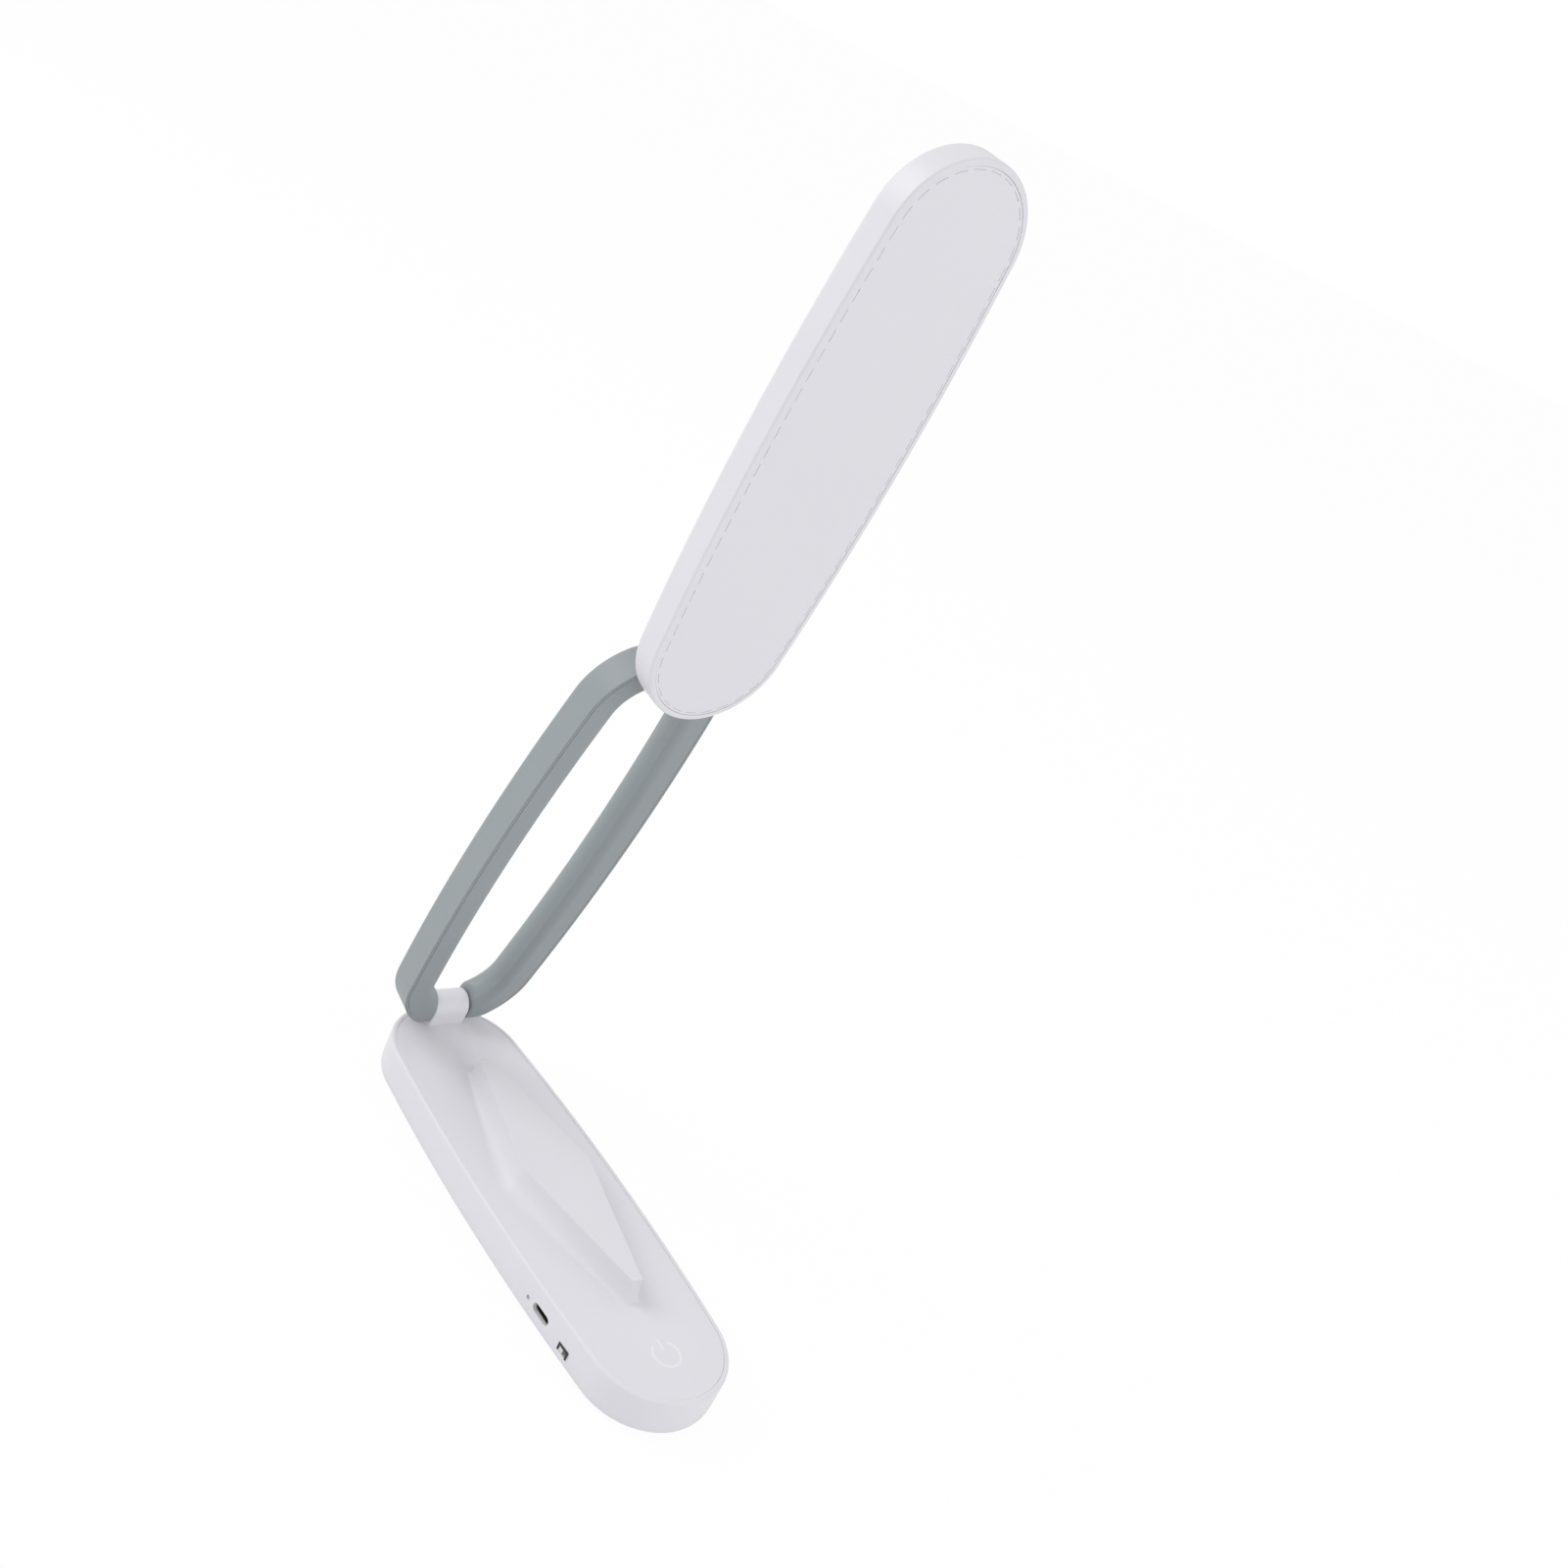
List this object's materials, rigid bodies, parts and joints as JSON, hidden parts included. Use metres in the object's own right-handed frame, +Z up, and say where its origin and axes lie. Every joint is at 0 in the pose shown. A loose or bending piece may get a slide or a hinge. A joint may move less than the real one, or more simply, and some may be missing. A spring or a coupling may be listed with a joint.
{
  "type": "folding desk lamp",
  "caption": "Fold-up LED desk lamp: stadium-shaped base with a sculpted top, an open racetrack arm and a flat light head on friction hinges, with USB-C inlet and slide switch.",
  "frame": {"origin": "middle of the base's footprint, on the surface that the rubber feet stand on", "axes": "+X from the lower hinge to the front end of the base, +Y away from the socket side, +Z up"},
  "size_m": [0.2064, 0.062, 0.4053],
  "materials": {
    "white_shell": "satin moulded ABS",
    "white_knuckle": "satin moulded ABS",
    "arm_grey": "fine matt, soft-touch",
    "arm_cover_grey": "fine matt, soft-touch",
    "diffuser": "opal, silky",
    "reflector_white": "moulded white",
    "switch_knob": "moulded",
    "switch_black": "moulded",
    "bush_black": "acetal",
    "steel": "zinc plated",
    "pin_steel": "ground",
    "usb_shell": "drawn, nickel plated",
    "foot_rubber": "matt",
    "battery_wrap": "heat-shrunk film",
    "circuit_board": "solder mask",
    "led_board": "white solder mask",
    "led_phosphor": "phosphor",
    "sensor_copper": "foil",
    "light_pipe": "clear moulded",
    "lead_black": "PVC"
  },
  "bodies": {
    "base": {"base_tray": "white_shell", "base_top": "white_shell", "base_knuckle": "white_knuckle", "knuckle_screws": "steel", "base_screws": "steel", "rubber_feet": "foot_rubber", "weight_plate": "steel", "battery": "battery_wrap", "main_board": "circuit_board", "usb_socket": "usb_shell", "switch_body": "switch_black", "charge_light": "light_pipe", "touch_pad": "sensor_copper", "base_lead": "lead_black", "lower_bushes": "bush_black"},
    "switch_knob": {"switch_knob": "switch_knob"},
    "arm": {"left_limb": "arm_grey", "left_limb_cover": "arm_cover_grey", "right_limb": "arm_grey", "right_limb_cover": "arm_cover_grey", "limb_screws": "steel", "lower_pins": "pin_steel", "upper_pins": "pin_steel", "lower_washers": "steel", "upper_washers": "steel", "arm_lead": "lead_black"},
    "head": {"upper_bushes": "bush_black", "head_housing": "white_shell", "head_knuckle": "white_knuckle", "head_knuckle_screws": "steel", "head_lead": "lead_black", "led_board": "led_board", "led_screws": "steel", "led_chips": "led_phosphor", "reflector_frame": "reflector_white", "diffuser": "diffuser"}
  },
  "joints": [
    {"name": "arm_fold", "type": "hinge", "parent": "base", "child": "arm", "pos_m": [-0.09455, 0, 0.02435], "axis": [0, 1, 0], "range_deg": [0, 74]},
    {"name": "head_fold", "type": "hinge", "parent": "arm", "child": "head", "pos_m": [-0.0562, 0, 0.20952], "axis": [0, -1, 0], "range_deg": [0, 174.2]},
    {"name": "switch_slide", "type": "slide", "parent": "base", "child": "switch_knob", "axis": [1, 0, 0], "range_m": [0, 0.002]}
  ]
}
